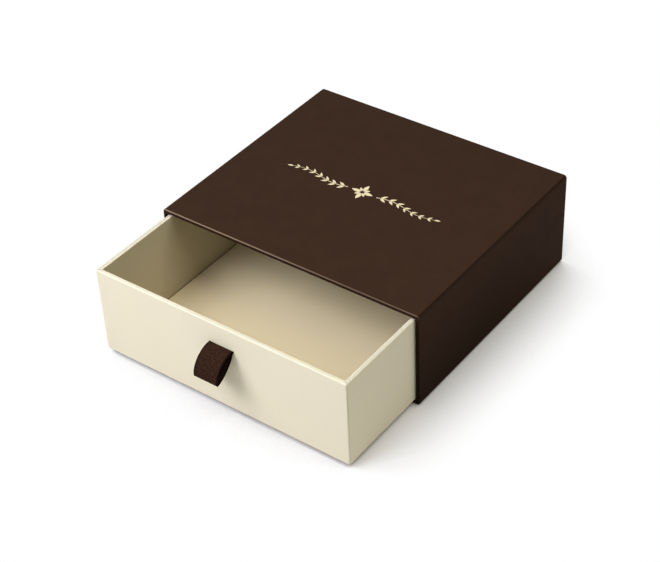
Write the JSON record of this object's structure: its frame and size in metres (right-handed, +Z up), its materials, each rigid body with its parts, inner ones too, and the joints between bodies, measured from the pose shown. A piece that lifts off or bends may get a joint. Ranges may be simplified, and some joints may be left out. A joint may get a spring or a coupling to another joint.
{
  "type": "sliding drawer gift box",
  "caption": "Paper-covered rigid box: an open tray slides like a drawer out of a closed-back sleeve, pulled by a folded ribbon loop.",
  "frame": {"origin": "middle of the sleeve's underside, on the surface that the box stands on", "axes": "+Z up; -Y out of the sleeve's mouth, the way the drawer opens; +X to the right seen from the front"},
  "size_m": [0.16, 0.2099, 0.057],
  "materials": {
    "sleeve_board": "plain greyboard",
    "drawer_board": "plain greyboard",
    "dark_wrap_paper": "matt laminated",
    "dark_lining_paper": "uncoated",
    "cream_wrap_paper": "matt laminated",
    "cream_floor_paper": "uncoated",
    "stay_paper": "gummed kraft",
    "ribbon": "woven grosgrain"
  },
  "bodies": {
    "sleeve": {"sleeve_base_board": "sleeve_board", "sleeve_top_board": "sleeve_board", "sleeve_left_board": "sleeve_board", "sleeve_right_board": "sleeve_board", "sleeve_back_board": "sleeve_board", "sleeve_wrap": "dark_wrap_paper", "sleeve_lining": "dark_lining_paper", "sleeve_base_sheet": "dark_wrap_paper", "sleeve_back_sheet": "dark_wrap_paper"},
    "drawer": {"drawer_base_board": "drawer_board", "drawer_front_board": "drawer_board", "drawer_back_board": "drawer_board", "drawer_left_board": "drawer_board", "drawer_right_board": "drawer_board", "drawer_corner_stays": "stay_paper", "drawer_wrap": "cream_wrap_paper", "drawer_floor_sheet": "cream_floor_paper", "ribbon_tails": "ribbon"},
    "pull": {"pull_ribbon": "ribbon"}
  },
  "joints": [
    {"name": "drawer_slide", "type": "slide", "parent": "sleeve", "child": "drawer", "axis": [0, -1, 0], "range_m": [-0.055, 0.082]},
    {"name": "pull_hinge", "type": "hinge", "parent": "drawer", "child": "pull", "pos_m": [0.0025, -0.1255, 0.04128], "axis": [-1, 0, 0], "range_deg": [-15, 70], "stiffness_Nm_per_rad": 0.0006}
  ]
}
